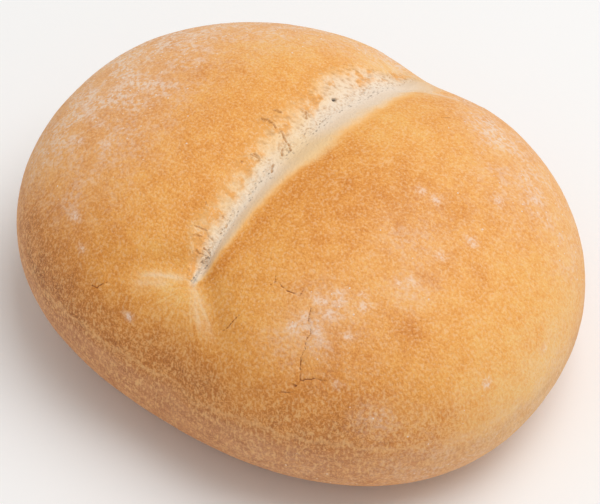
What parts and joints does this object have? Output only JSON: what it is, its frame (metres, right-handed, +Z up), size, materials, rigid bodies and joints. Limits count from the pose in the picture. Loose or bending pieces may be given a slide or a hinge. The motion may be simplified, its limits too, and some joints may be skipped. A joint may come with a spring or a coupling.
{
  "type": "bread roll",
  "caption": "Oval crusty wheat roll with a torn cleft pressed across its crown, resting on its flat base.",
  "frame": {"origin": "centre of the roll's box in plan, at the height of its flat base", "axes": "+X along the roll's length, +Y along the cleft towards its wide end, +Z up from the base"},
  "size_m": [0.108, 0.0856, 0.0468],
  "materials": {
    "crust": "matte"
  },
  "bodies": {
    "root": {"roll": "crust"}
  },
  "joints": []
}
